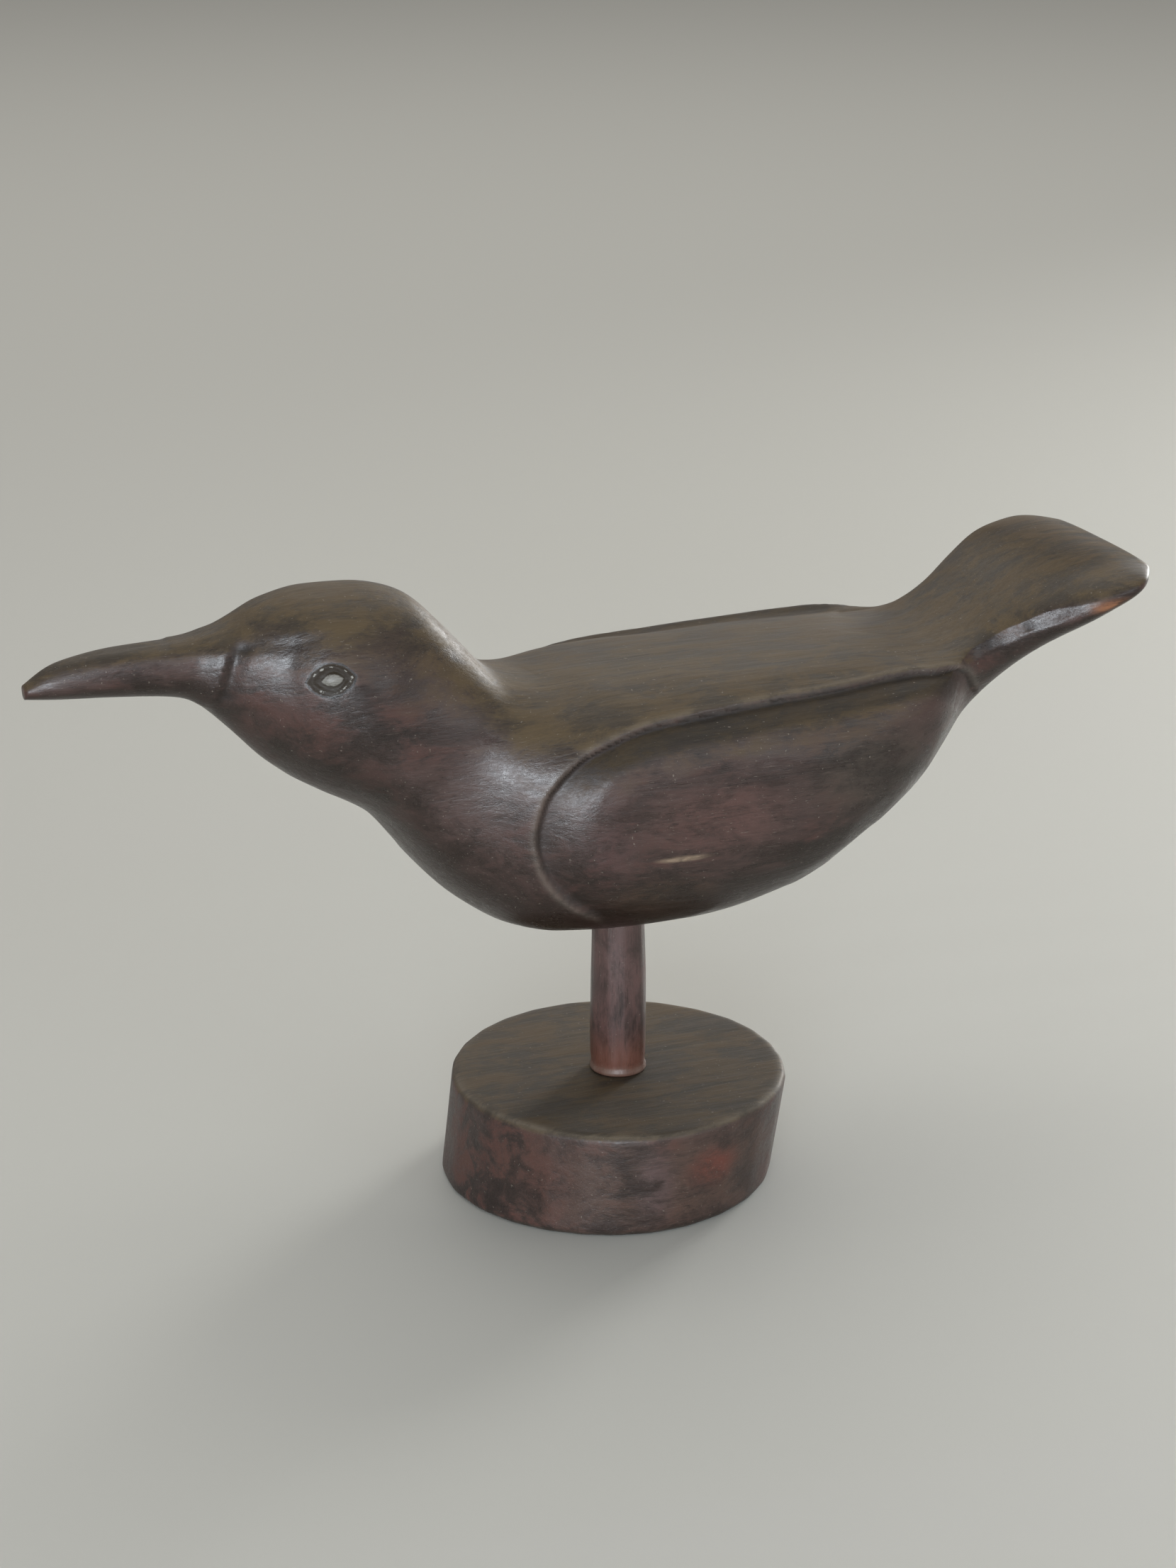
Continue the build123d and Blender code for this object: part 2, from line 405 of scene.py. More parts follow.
# %% Tail flats
TAIL_CREASES = (80.8, 88.6)
FLAT_DEEP, FLAT_HOLLOW, CREASE_DEEP = 0.22, 0.20, 0.16
edge_level = np.interp(x, ring_x, profile[:, 1])
slant = x + 0.25 * (z - edge_level)
flat_share = np.interp(slant, (72.5,) + TAIL_CREASES + (98.0,), (0, 1, 2, 3)) % 1.0
knife_way = np.array((-0.42, -0.87, 0.26)) * (1, -1, 1)
knife_way /= np.linalg.norm(knife_way)
reach_out = (mirrored @ knife_way).reshape(body.shape[:2])
pare = (FLAT_DEEP + FLAT_HOLLOW * np.sin(np.pi * flat_share)) * ramp(70, 75, x) * ramp(104, 91, x)
over = reach_out - reach_out.max(1, keepdims=True)
over = np.clip(over.reshape(-1) + pare, 0, 2) * (out.reshape(-1, 3) * other_way @ knife_way > 0.3)
tail_crease = sum(ridge(slant, at, 0.6) for at in TAIL_CREASES) * ramp(0.0, 0.12, over)
carve = carve - over - CREASE_DEEP * tail_crease
print("tail edge pared", over.max().round(2), "mm")

# %% [markdown]
# ## Knife flats
# A whittled surface is never truly round: it is made of shallow flats as wide as
# a thumb. Every point is drawn a little towards the planes of the nearest of a
# few hundred places on the surface that face the same way. Near the border of
# two flats both planes count, so the surface has no step there. A slow
# unevenness is added on top, and both stay clear of the eye and the fine edges.

# %% Flats and unevenness
picks = rng.choice(len(flat_body), 420, replace=False)
seats, seat_out = flat_body[picks], flat_out[picks]
stretch = np.array((0.45, 1.0, 1.0))
flats = np.zeros(len(flat_body))
for block in np.array_split(np.arange(len(flat_body)), 60):
    gap = flat_body[block][:, None] - seats[None]
    turned_away = 1 - flat_out[block] @ seat_out.T
    cost = ((gap * stretch) ** 2).sum(-1) + 220 * turned_away
    pull = np.exp((cost.min(1, keepdims=True) - cost) / 5.0)
    depth = np.clip(np.einsum("ijk,jk->ij", gap, seat_out), -1.5, 1.5)
    flats[block] = -(depth * pull).sum(1) / pull.sum(1)
thick = profile[:, 3].repeat(TURNS)
calm = ramp(1.2, 2.4, q) * ramp(5.0, 16.0, thick) * ramp(80, 72, x)
calm = calm * (1 - 0.65 * ramp(-34, -44, x)) * (1 - ridge(x, -31, 15))
calm = calm * (1 - 0.7 * ridge(from_line, 0, 2.0))
FLAT_LIMIT, FLAT_SHARE = 0.40, 0.45
carve = carve + np.clip(flats, -FLAT_LIMIT, FLAT_LIMIT) * FLAT_SHARE * calm
carve = carve + 0.10 * wobble(flat_body, 15) * calm + 0.16 * wobble(flat_body[:, ::-1], 36) * calm
carved = (flat_body + flat_out * carve[:, None]).reshape(body.shape)
print("flats", flats.min().round(2), flats.max().round(2))

# %% [markdown]
# ## From points to a closed piece
# Neighbouring rings are joined by four-sided faces, and the tip of the beak and
# the end of the tail are closed by a fan. Marks are stored on the points, so that
# the finish can paint shade into a cut and make an edge paler, as wear and as a
# painted highlight.

# %% Make the bird's mesh


def ring_mesh(name, grid, marks):
    rings, turns = grid.shape[:2]
    points = np.vstack([grid.reshape(-1, 3), grid[0].mean(0), grid[-1].mean(0)]) * MM
    i, j = np.meshgrid(np.arange(rings - 1), np.arange(turns), indexing="ij")
    k = (j + 1) % turns
    here, there = i * turns, (i + 1) * turns
    quads = np.stack([here + j, there + j, there + k, here + k], -1).reshape(-1, 4)
    first, last = rings * turns, rings * turns + 1
    caps = [(first, j, (j + 1) % turns) for j in range(turns)]
    base = (rings - 1) * turns
    caps += [(last, base + (j + 1) % turns, base + j) for j in range(turns)]
    mesh = bpy.data.meshes.new(name)
    mesh.from_pydata(points.tolist(), [], quads.tolist() + caps)
    for mark, values in marks.items():
        layer = mesh.attributes.new(mark, "FLOAT", "POINT")
        layer.data.foreach_set("value", np.concatenate([values, [0, 0]]).astype(np.float32))
    mesh.validate()
    mesh.shade_smooth()
    obj = bpy.data.objects.new(name, mesh)
    bpy.context.scene.collection.objects.link(obj)
    return obj


def face_outward(obj):
    bpy.context.view_layer.objects.active = obj
    obj.select_set(True)
    bpy.ops.object.mode_set(mode="EDIT")
    bpy.ops.mesh.select_all(action="SELECT")
    bpy.ops.mesh.normals_make_consistent(inside=False)
    bpy.ops.object.mode_set(mode="OBJECT")
    obj.select_set(False)


# painted shade: the wing's knife line, its hollow and the far lip, the beak seam and its corners, and the
# creases between the tail flats are darkened in the finish
painted_shade_mark = np.clip(crease_shade * 0.9 + seam_shade + 0.8 * tail_crease, 0, 1)
rub_mark = np.clip(lip_wear * 0.8, 0, 1)
dull_mark = ramp(88, 108, x) * np.where(flat_body[:, 1] < 0, ramp(24, 14, y), 1.0)
bird = ring_mesh("carved_bird", carved, {"cut": painted_shade_mark, "rub_and_highlight": rub_mark, "dull": dull_mark})
face_outward(bird)
print("bird faces", len(bird.data.polygons))

# %% [markdown]
# ## The socket in the belly
# The peg's tenon goes up into a drilled hole. A drill is a cylinder, so the hole
# is cut with cylinders and a Boolean, which keeps the mesh closed.

# %% Drill the belly
SEAT_Z, SEAT_R, TENON_R, TENON_LONG = 66.0, 6.15, 5.05, 18.5


def drill(obj, radius, low, high):
    middle = (0, 0, (low + high) / 2 * MM)
    bpy.ops.mesh.primitive_cylinder_add(
        vertices=96, radius=radius * MM, depth=(high - low) * MM, location=middle
    )
    bit = bpy.context.object
    cut = obj.modifiers.new("drill", "BOOLEAN")
    cut.operation = "DIFFERENCE"
    cut.solver = "EXACT"
    cut.object = bit
    bpy.context.view_layer.objects.active = obj
    bpy.ops.object.modifier_apply(modifier=cut.name)
    bpy.data.objects.remove(bit)


drill(bird, SEAT_R, 50, SEAT_Z)
drill(bird, TENON_R, 60, SEAT_Z + TENON_LONG)
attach(bird, "bird")
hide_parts("bird")
print("drilled; faces", len(bird.data.polygons))

# %% [markdown]
# ## The peg
# A round rod shaved by hand: a touch thicker at the foot than under the belly,
# never quite round, with a smaller tenon at each end and a pressed ring where it
# meets the base, with a painted highlight on it. A lathe profile turned into rings
# gives it, and the shaving shows as a slow unevenness of the radius.

# %% Turn the peg
PEG_PROFILE = [
    (1.2, 9.0), (4.6, 9.0), (5.2, 9.2), (5.5, 9.7), (5.5, 16.0), (5.5, 24.2), (5.5, 24.5),
    (5.9, 24.52), (6.25, 24.65), (6.42, 24.95), (6.40, 25.5), (6.18, 26.1), (6.16, 26.8),
    (6.28, 28.0), (6.34, 31.0), (6.30, 36.0), (6.22, 42.0), (6.16, 48.0), (6.08, 54.0), (6.0, 60.0),
    (5.98, 64.0), (5.98, 65.9), (5.9, 66.0), (5.2, 66.0), (5.0, 66.1), (5.0, 70.0), (5.0, 78.0),
    (5.0, 83.2), (4.7, 83.8), (4.2, 84.0), (1.2, 84.0),
]


def refined(profile, longest):
    rows = [profile[0]]
    for (r0, z0), (r1, z1) in zip(profile, profile[1:]):
        n = max(1, int(math.ceil(math.hypot(r1 - r0, z1 - z0) / longest)))
        rows += [(r0 + (r1 - r0) * k / n, z0 + (z1 - z0) * k / n) for k in range(1, n + 1)]
    return np.array(rows)


def turned(profile, turns, centre=lambda r, z: (0 * z, 0 * z)):
    angle = np.linspace(0, 2 * math.pi, turns, endpoint=False)[None]
    r, z = profile[:, :1], profile[:, 1:2]
    cx, cy = centre(r, z)
    return np.stack([cx + r * np.cos(angle), cy + r * np.sin(angle), z + 0 * angle], -1)


peg_rows = refined(PEG_PROFILE, 0.7)
rod = turned(peg_rows, 96)
shaft = (ramp(24.6, 27.5, rod[..., 2]) * ramp(65.5, 63.0, rod[..., 2]))[..., None]
lean = np.arctan2(rod[..., 1], rod[..., 0])
shave = 0.10 * wobble(rod * np.array((1.6, 1.6, 0.25)), 6) + 0.07 * np.cos(lean * 9 + 0.05 * rod[..., 2])
radial = np.stack([np.cos(lean), np.sin(lean), 0 * lean], -1)
rod = rod + radial * (np.clip(shave, -0.22, 0.10)[..., None] * shaft)
foot_red = ramp(37, 27, rod[..., 2]).reshape(-1)
# painted highlight: a pale ring on the bead where the peg meets the base
foot_highlight = ridge(rod[..., 2], 25.5, 0.9).reshape(-1)
peg = ring_mesh("turned_peg", rod, {"cut": 0 * foot_highlight, "rub_and_highlight": foot_highlight, "warm": foot_red})
face_outward(peg)
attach(peg, "peg")
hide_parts("peg")
print("peg faces", len(peg.data.polygons))

# %% [markdown]
# ## The base
# A disc sawn from inch board. Its side was cut by hand, so it leans, wanders
# and keeps shallow upright flats, and its rims were softened with a scraper. It
# is turned like the peg, but each ring has its own centre, and the hole for the
# peg is part of the same profile.

# %% Cut the base
FOOT_AT, TOP_AT, BASE_H = np.array((-2.4, 1.8)), np.array((0.5, 0.7)), 24.5
HOLE_R, HOLE_Z = 5.55, 8.5
BASE_PROFILE = [
    (2.0, 0.0), (20.0, 0.0), (36.6, 0.0), (37.4, 0.12), (37.9, 0.5), (38.15, 1.2),
    (38.55, 22.9), (38.35, 23.6), (37.9, 24.15), (37.2, 24.42), (36.4, BASE_H),
    (12.0, BASE_H), (6.2, BASE_H), (5.7, 24.4), (HOLE_R, 24.1), (HOLE_R, HOLE_Z), (1.0, HOLE_Z),
]


def base_centre(r, z):
    # rings near the peg's hole stay on its axis, the outer ones lean with the side
    share = z / BASE_H
    shift = np.where(z < HOLE_Z - 0.1, 1.0, np.clip((r - 7.0) / 29.0, 0, 1))
    cx = (FOOT_AT[0] * (1 - share) + TOP_AT[0] * share) * shift
    cy = (FOOT_AT[1] * (1 - share) + TOP_AT[1] * share) * shift
    return cx, cy


base_rows = refined(BASE_PROFILE, 0.9)
disc = turned(base_rows, 240, base_centre)
turn_at = np.arctan2(disc[..., 1], disc[..., 0])
side = (ramp(30, 37, base_rows[:, 0]) * (base_rows[:, 0] > 10))[:, None]
out_way = np.stack([np.cos(turn_at), np.sin(turn_at), 0 * turn_at], -1)
scallop = -0.16 * np.abs(np.sin(turn_at * 13 + 0.7 * np.sin(turn_at * 3)))
uneven = 0.22 * wobble(disc * np.array((1, 1, 0.35)), 26) - 0.24 + scallop
disc = disc + out_way * (uneven * side)[..., None]
on_board = (disc[..., 2] > 24.0) & (base_rows[:, 0] > 7)[:, None]
ripple = 0.07 * wobble(disc * np.array((0.35, 1.5, 1)), 15)
disc[..., 2] += np.where(on_board, ripple, 0) * ramp(6.5, 34, base_rows[:, 0])[:, None]
outer = base_rows[:, 0] > 30
# the upper rim is painted paler as wear and as a painted highlight, the lower rim as wear
upper_rim = ridge(disc[..., 2], 24.1, 0.45) * ramp(35.8, 37.4, base_rows[:, 0])[:, None]
lower_rim = 0.6 * ridge(disc[..., 2], 0.3, 0.5) * outer[:, None]
rim = upper_rim + lower_rim
base = ring_mesh("sawn_base", disc, {"cut": 0 * rim.reshape(-1), "rub_and_highlight": np.clip(rim, 0, 1).reshape(-1)})
face_outward(base)
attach(base, "stand")
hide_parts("base")
print("base faces", len(base.data.polygons))

# %% [markdown]
# ## The finish
# Dark stained wood rubbed with wax. One recipe serves the three pieces: fine
# fibres drawn out along the grain, short open pores, larger cloudy changes of
# stain, an olive film of dust and wax with a painted sheen on what faces up, and
# rubbed places, painted highlights and painted shade in cuts from the marks stored
# on the points. All of it is worked out from the place in the wood, so the grain
# runs through the piece and not over it.

# %% Node helpers


class Finish:
    def __init__(self, name):
        self.material = bpy.data.materials.new(name)
        self.material.use_nodes = True
        self.tree = self.material.node_tree
        self.tree.nodes.clear()

    def add(self, kind, **settings):
        node = self.tree.nodes.new(kind)
        for key, value in settings.items():
            setattr(node, key, value)
        return node

    def join(self, source, target):
        self.tree.links.new(source, target)

    def feed(self, socket, value):
        if hasattr(value, "is_output"):
            self.join(value, socket)
        else:
            socket.default_value = value

    def noise(self, where, scale, detail=4.0, rough=0.55, twist=0.0):
        node = self.add("ShaderNodeTexNoise")
        self.join(where, node.inputs["Vector"])
        settings = {"Scale": scale, "Detail": detail, "Roughness": rough, "Distortion": twist}
        for key, value in settings.items():
            node.inputs[key].default_value = value
        return node.outputs["Fac"]

    def stretch(self, where, amounts, shift=(0, 0, 0), turned_by=(0, 0, 0)):
        node = self.add("ShaderNodeMapping")
        self.join(where, node.inputs["Vector"])
        node.inputs["Rotation"].default_value = turned_by
        node.inputs["Scale"].default_value = amounts
        node.inputs["Location"].default_value = shift
        return node.outputs["Vector"]

    def span(self, value, low, high, to_low=0.0, to_high=1.0, smooth=True):
        node = self.add("ShaderNodeMapRange")
        node.interpolation_type = "SMOOTHSTEP" if smooth else "LINEAR"
        self.feed(node.inputs["Value"], value)
        settings = {"From Min": low, "From Max": high, "To Min": to_low, "To Max": to_high}
        for key, number in settings.items():
            node.inputs[key].default_value = number
        return node.outputs["Result"]

    def sum_up(self, kind, first, second):
        node = self.add("ShaderNodeMath", operation=kind)
        self.feed(node.inputs[0], first)
        self.feed(node.inputs[1], second)
        return node.outputs["Value"]

    def blend(self, share, first, second, kind="MIX"):
        node = self.add("ShaderNodeMix", data_type="RGBA", blend_type=kind)
        self.feed(node.inputs["Factor"], share)
        self.feed(node.inputs["A"], first)
        self.feed(node.inputs["B"], second)
        return node.outputs["Result"]

    def mark(self, name):
        return self.add("ShaderNodeAttribute", attribute_name=name).outputs["Fac"]

    def spot(self, where, centre, size):
        # 1 in the middle of an egg-shaped place in the wood, 0 outside it
        away = self.add("ShaderNodeVectorMath", operation="SUBTRACT")
        self.join(where, away.inputs[0])
        away.inputs[1].default_value = [v * MM for v in centre]
        scaled = self.add("ShaderNodeVectorMath", operation="DIVIDE")
        self.join(away.outputs["Vector"], scaled.inputs[0])
        scaled.inputs[1].default_value = [v * MM for v in size]
        long = self.add("ShaderNodeVectorMath", operation="LENGTH")
        self.join(scaled.outputs["Vector"], long.inputs[0])
        return self.span(long.outputs["Value"], 1.0, 0.2)


print("finish helpers:", [word for word in vars(Finish) if word[0] != "_"])

# %% [markdown]
# ## Drawing the eye in the finish
# A pointed oval is where two discs overlap, so the distance to its edge is a
# short sum: the length to the centre of the far disc, less that disc's radius.
# Measured from the place in the wood, it gives a thin line of painted shade, a few
# painted glints on the rim, painted shade in the hollow and a painted highlight on
# the bead that stay sharp from close by, and a little noise added to the distance
# makes the line look cut by hand.

# %% Eye lines drawn in the finish
def two_arcs(half_long, half_tall):
    # the two arcs of a pointed oval: their radius and how far apart they sit
    radius = (half_long**2 + half_tall**2) / (2 * half_tall)
    return radius, radius - half_tall


def oval_edge(f, a, b, half_long, half_tall):
    # millimetres outside the pointed oval; negative inside it
    radius, apart = two_arcs(half_long, half_tall)
    pair = f.add("ShaderNodeCombineXYZ")
    f.join(a, pair.inputs[0])
    f.join(f.sum_up("ADD", f.sum_up("ABSOLUTE", b, 0.0), apart), pair.inputs[1])
    long = f.add("ShaderNodeVectorMath", operation="LENGTH")
    f.join(pair.outputs[0], long.inputs[0])
    return f.sum_up("SUBTRACT", long.outputs["Value"], radius)


def eye_marks(f, where):
    split = f.add("ShaderNodeSeparateXYZ")
    f.join(where, split.inputs[0])
    near_side = f.add("ShaderNodeCombineXYZ")
    f.join(split.outputs["X"], near_side.inputs[0])
    f.join(f.sum_up("ABSOLUTE", split.outputs["Y"], 0.0), near_side.inputs[1])
    f.join(split.outputs["Z"], near_side.inputs[2])
    away = f.add("ShaderNodeVectorMath", operation="SUBTRACT")
    f.join(near_side.outputs[0], away.inputs[0])
    away.inputs[1].default_value = [v * MM for v in EYE]

    def measured(way):
        dot = f.add("ShaderNodeVectorMath", operation="DOT_PRODUCT")
        f.join(away.outputs[0], dot.inputs[0])
        dot.inputs[1].default_value = list(way)
        return f.sum_up("MULTIPLY", dot.outputs["Value"], 1000.0)

    shake = f.span(f.noise(where, 1100.0, 3.0, 0.6), 0.25, 0.75, -0.24, 0.24, False)
    a, b = measured(eye_along), measured(eye_up)
    edge = f.sum_up("ADD", oval_edge(f, a, b, EYE_LONG, EYE_TALL), shake)
    # painted shade along the outline and in the hollow, painted glints on the rim and a painted highlight
    # on the bead
    line = f.span(f.sum_up("ABSOLUTE", edge, 0.0), 0.34, 0.10)
    rim = f.span(f.sum_up("ABSOLUTE", f.sum_up("ADD", edge, 0.80), 0.0), 0.24, 0.08)
    rim_glints = f.sum_up("MULTIPLY", rim, f.span(f.noise(where, 900.0, 2.0, 0.5), 0.55, 0.62))
    sunk = f.span(edge, -0.10, -0.40)
    bead_edge = oval_edge(f, f.sum_up("SUBTRACT", a, 0.3), b, 2.4, 1.3)
    bead_edge = f.sum_up("ADD", bead_edge, f.sum_up("MULTIPLY", shake, 0.6))
    ball = f.span(bead_edge, 0.05, -0.30)
    return line, rim_glints, sunk, ball


print("radius of the eye's two arcs", round(two_arcs(EYE_LONG, EYE_TALL)[0], 2), "mm")

# %% [markdown]
# ## Colours
# The wood was stained nearly black and has worn to brown and a dull red, and
# dust in the wax together with a painted sheen has turned what faces up olive.
# Some colours also paint light: the one below paints shade on what faces down,
# the dark of the pores paints shade in cuts and in the eye's outline, the ochre
# paints shade in the eye's hollow, the dust paints highlights on pale edges, and
# the bead's colour paints the eye's highlights. A colour ramp could hold these
# colours, but as named values any mask can mix any two of them. They look very
# small because a shader counts light and not what a screen shows.

# %% Colours of the stain and of painted light
SIDE_DARK = (0.0175, 0.0105, 0.0088, 1)
SIDE_PALE = (0.067, 0.0395, 0.034, 1)
UNDER = (0.0150, 0.0088, 0.0060, 1)
REDDISH = (0.090, 0.036, 0.028, 1)
OLIVE = (0.078, 0.052, 0.021, 1)
OLIVE_DARK = (0.027, 0.019, 0.010, 1)
PORE_AND_SHADE = (0.007, 0.0045, 0.0035, 1)
DUST_AND_HIGHLIGHT = (0.22, 0.19, 0.155, 1)
BEAD_HIGHLIGHT = (0.34, 0.33, 0.30, 1)
OCHRE = (0.020, 0.013, 0.0065, 1)
print("stain from", SIDE_DARK[:3], "to", SIDE_PALE[:3])

# %% [markdown]
# ## Grain
# Wood is a bundle of fibres. A noise texture gives even clouds; stretched a
# long way along one axis it gives fibres, and stretched a little it gives the
# drawn-out clouds of a stain that soaked in unevenly. The grain runs along the
# bird and across the disc, and up the peg, as each blank was sawn.

# %% Grain and clouds of stain
FIBRES_ACROSS, FIBRES_ALONG = 3600.0, 210.0
FIGURE_ACROSS, FIGURE_ALONG = 760.0, 44.0
MOTTLE_ALONG = 0.45
SCORED_WAY = (0.3, 0.7, 0.4)


def grown(f, grain):
    # what the wood and its stain show, drawn out along the axis of the grain
    where = f.add("ShaderNodeTexCoord").outputs["Object"]
    fine, long, mottle = [FIBRES_ACROSS] * 3, [FIGURE_ACROSS] * 3, [1.0] * 3
    fine[grain], long[grain], mottle[grain] = FIBRES_ALONG, FIGURE_ALONG, MOTTLE_ALONG
    return SimpleNamespace(
        where=where,
        fibres=f.noise(f.stretch(where, fine), 1.0, 3.0, 0.65, 0.25),
        figure=f.noise(f.stretch(where, long, (3, 1, 2)), 0.5, 5.0, 0.62, 0.5),
        cloud=f.noise(where, 36.0, 4.0, 0.58, 0.6),
        blotch=f.noise(f.stretch(where, mottle, (5, 9, 4)), 150.0, 7.0, 0.72, 0.4),
        speck=f.noise(f.stretch(where, (1, 1, 1), (2, 7, 1)), 1500.0, 2.0, 0.5),
        scuff=f.noise(f.stretch(where, [v * 0.4 for v in fine], (8, 3, 5)), 1.0, 4.0, 0.7, 1.2),
        scored=f.noise(f.stretch(where, (900, 900, 5200), (4, 4, 4), SCORED_WAY), 1.0, 1.0, 0.4),
    )


def faces(f, wood):
    # how far a place faces up or down, with a ragged border between the two
    way = f.add("ShaderNodeSeparateXYZ")
    f.join(f.add("ShaderNodeNewGeometry").outputs["Normal"], way.inputs[0])
    uneven_up = f.sum_up("ADD", way.outputs["Z"], f.span(wood.blotch, 0.25, 0.75, -0.18, 0.18))
    return f.span(uneven_up, 0.15, 0.72), f.span(uneven_up, 0.0, -0.55)


print("fibres are", round(FIBRES_ACROSS / FIBRES_ALONG), "times longer than wide")

# %% [markdown]
# ## Stain, film, wear and painted light
# The colours are laid on in the order in which the real ones came to the piece,
# with painted light among them: the stain, the reddish places where a hand has
# thinned it, the film on top with a painted sheen, painted shade on what faces
# down, the dark in pores with painted shade in cuts, the dust on rubbed edges with
# painted highlights, and scratches last. Each layer is a mix whose mask is broken
# up by the same clouds, so that no border is clean. A painted texture could do
# this, but it would need an unwrapped surface, and this way the same recipe serves
# all three pieces.

# %% The stain, the film with its painted sheen on top, and painted shade below
SHADE_BELOW = 0.8


def stain_and_painted_light(f, wood, up, down, patches, red_share, film_and_sheen):
    tone = f.span(wood.cloud, 0.38, 0.62, 0.0, 0.45)
    tone = f.sum_up("ADD", tone, f.span(wood.figure, 0.34, 0.66, 0.0, 0.2))
    tone = f.sum_up("ADD", tone, f.span(wood.blotch, 0.38, 0.60, 0.0, 0.35))
    colour = f.blend(tone, SIDE_DARK, SIDE_PALE)
    pale_clouds = f.span(wood.cloud, 0.60, 0.42, 0.1, 1.0)
    red = f.sum_up("MULTIPLY", f.span(wood.blotch, 0.46, 0.62), pale_clouds)
    colour = f.blend(f.sum_up("MULTIPLY", red, red_share), colour, REDDISH)
    for centre, size, share, shade in patches:
        broken = f.span(wood.blotch, 0.34, 0.60, 0.15, 1.0)
        here = f.sum_up("MULTIPLY", f.spot(wood.where, centre, size), broken)
        colour = f.blend(f.sum_up("MULTIPLY", here, share), colour, shade)
    # what faces up gets an olive film: dust and wax, and a painted sheen of the light from the ceiling
    top_clouds = f.span(wood.blotch, 0.40, 0.58, 0.0, 0.7)
    top_grain = f.sum_up("ADD", f.span(wood.figure, 0.36, 0.64, 0.0, 0.3), top_clouds)
    top_tone = f.blend(top_grain, OLIVE_DARK, OLIVE)
    colour = f.blend(f.sum_up("MULTIPLY", up, film_and_sheen), colour, top_tone)
    return f.blend(f.sum_up("MULTIPLY", down, SHADE_BELOW), colour, UNDER)


print("film of dust and wax from", OLIVE_DARK[:3], "to", OLIVE[:3])

# %% Pores, dust, rubbed places and painted light
PORES, PALE_FIBRES, SPECKS, CUT_SHADE, RUB_AND_HIGHLIGHT_PALE, SCRATCHES = 0.75, 0.22, 0.55, 0.80, 0.42, 0.6


def handled_and_painted_light(f, wood, colour):
    uneven = f.span(wood.blotch, 0.58, 0.42, 0.25, 0.85)
    fleck = f.sum_up("MULTIPLY", f.span(wood.fibres, 0.46, 0.30), uneven)
    colour = f.blend(f.sum_up("MULTIPLY", fleck, PORES), colour, PORE_AND_SHADE)
    colour = f.blend(f.span(wood.fibres, 0.58, 0.78, 0.0, PALE_FIBRES), colour, DUST_AND_HIGHLIGHT)
    colour = f.blend(f.span(wood.speck, 0.70, 0.76, 0.0, SPECKS), colour, DUST_AND_HIGHLIGHT)
    # the cut mark is painted shade, laid on in the colour of the pores
    colour = f.blend(f.sum_up("MULTIPLY", f.mark("cut"), CUT_SHADE), colour, PORE_AND_SHADE)
    # the pale mark is wear, and also a painted highlight on the peg's foot and the base's upper rim
    rubbed = f.sum_up("MULTIPLY", f.mark("rub_and_highlight"), f.span(wood.blotch, 0.35, 0.60, 0.3, 1.0))
    return f.blend(f.sum_up("MULTIPLY", rubbed, RUB_AND_HIGHLIGHT_PALE), colour, DUST_AND_HIGHLIGHT)


def scratched(f, wood, colour):
    lines = f.span(wood.scored, 0.735, 0.765)
    scratch = f.sum_up("MULTIPLY", lines, f.span(wood.cloud, 0.45, 0.60))
    return f.blend(f.sum_up("MULTIPLY", scratch, SCRATCHES), colour, DUST_AND_HIGHLIGHT)


print("share of dust on a rubbed edge", RUB_AND_HIGHLIGHT_PALE)

# %% [markdown]
# ## Shine and relief
# Rubbed wax shines on the breast and the wing, and is dull in the cuts, under
# dust and at the end of the tail. That is the roughness. The relief is too fine
# for points: one bump node gives the slow waves of the grain and a second one,
# fed by the first, the threads and scuffs, so both are felt by the light.

# %% How dull the wax is, and its fine relief
DULL_ABOVE, DULL_CUT, DULL_TAIL = 0.28, 0.25, 0.35
FIGURE_HIGH, FIBRE_HIGH = 0.00035, 0.00009


def dullness(f, wood, up, gloss):
    rough = f.span(wood.blotch, 0.3, 0.7, gloss - 0.05, gloss + 0.10)
    rough = f.sum_up("ADD", rough, f.span(wood.scuff, 0.35, 0.75, -0.04, 0.12))
    rough = f.sum_up("ADD", rough, f.sum_up("MULTIPLY", up, DULL_ABOVE))
    rough = f.sum_up("ADD", rough, f.sum_up("MULTIPLY", f.mark("cut"), DULL_CUT))
    return f.sum_up("ADD", rough, f.sum_up("MULTIPLY", f.mark("dull"), DULL_TAIL))


def bump(f, height, strength, distance):
    node = f.add("ShaderNodeBump")
    node.inputs["Strength"].default_value = strength
    node.inputs["Distance"].default_value = distance
    f.join(height, node.inputs["Height"])
    return node


def relief(f, wood):
    waves = f.sum_up("ADD", f.span(wood.blotch, 0.2, 0.8, 0.0, 0.5), wood.figure)
    threads = f.sum_up("ADD", f.sum_up("MULTIPLY", wood.fibres, 0.6), wood.scuff)
    low = bump(f, waves, 0.45, FIGURE_HIGH)
    high = bump(f, threads, 0.42, FIBRE_HIGH)
    f.join(low.outputs["Normal"], high.inputs["Normal"])
    return high.outputs["Normal"]


print("fine relief", round(FIGURE_HIGH / MM, 2), "and", round(FIBRE_HIGH / MM, 2), "mm")

# %% Waxed wood
EYE_DULL = 0.35


